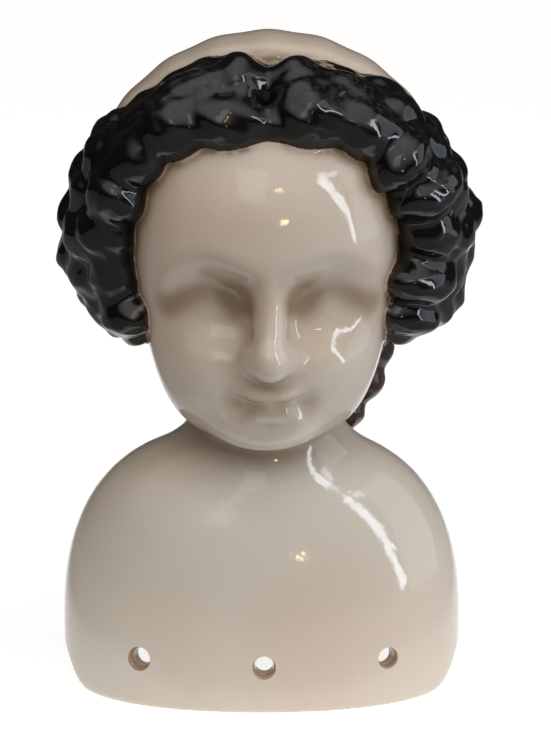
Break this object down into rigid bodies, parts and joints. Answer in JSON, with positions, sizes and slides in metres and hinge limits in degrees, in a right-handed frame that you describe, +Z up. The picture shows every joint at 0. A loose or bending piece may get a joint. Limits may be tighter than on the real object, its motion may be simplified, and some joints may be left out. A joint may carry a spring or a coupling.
{
  "type": "glazed porcelain doll shoulder head",
  "caption": "Hollow cast doll head on its shoulder plate, open underneath, with a moulded roll of curls, a plain cap and sewing holes along the lower edge.",
  "frame": {"origin": "middle of the whole part's plan at the level of its lower edge", "axes": "+Z up through the crown, the face looks along -Y, +X to the viewer's right when facing it"},
  "size_m": [0.0816, 0.0702, 0.1257],
  "materials": {
    "glazed_porcelain": "clear gloss glaze over a pale body, the hair glazed black"
  },
  "bodies": {
    "root": {"shoulder_head": "glazed_porcelain"}
  },
  "joints": []
}
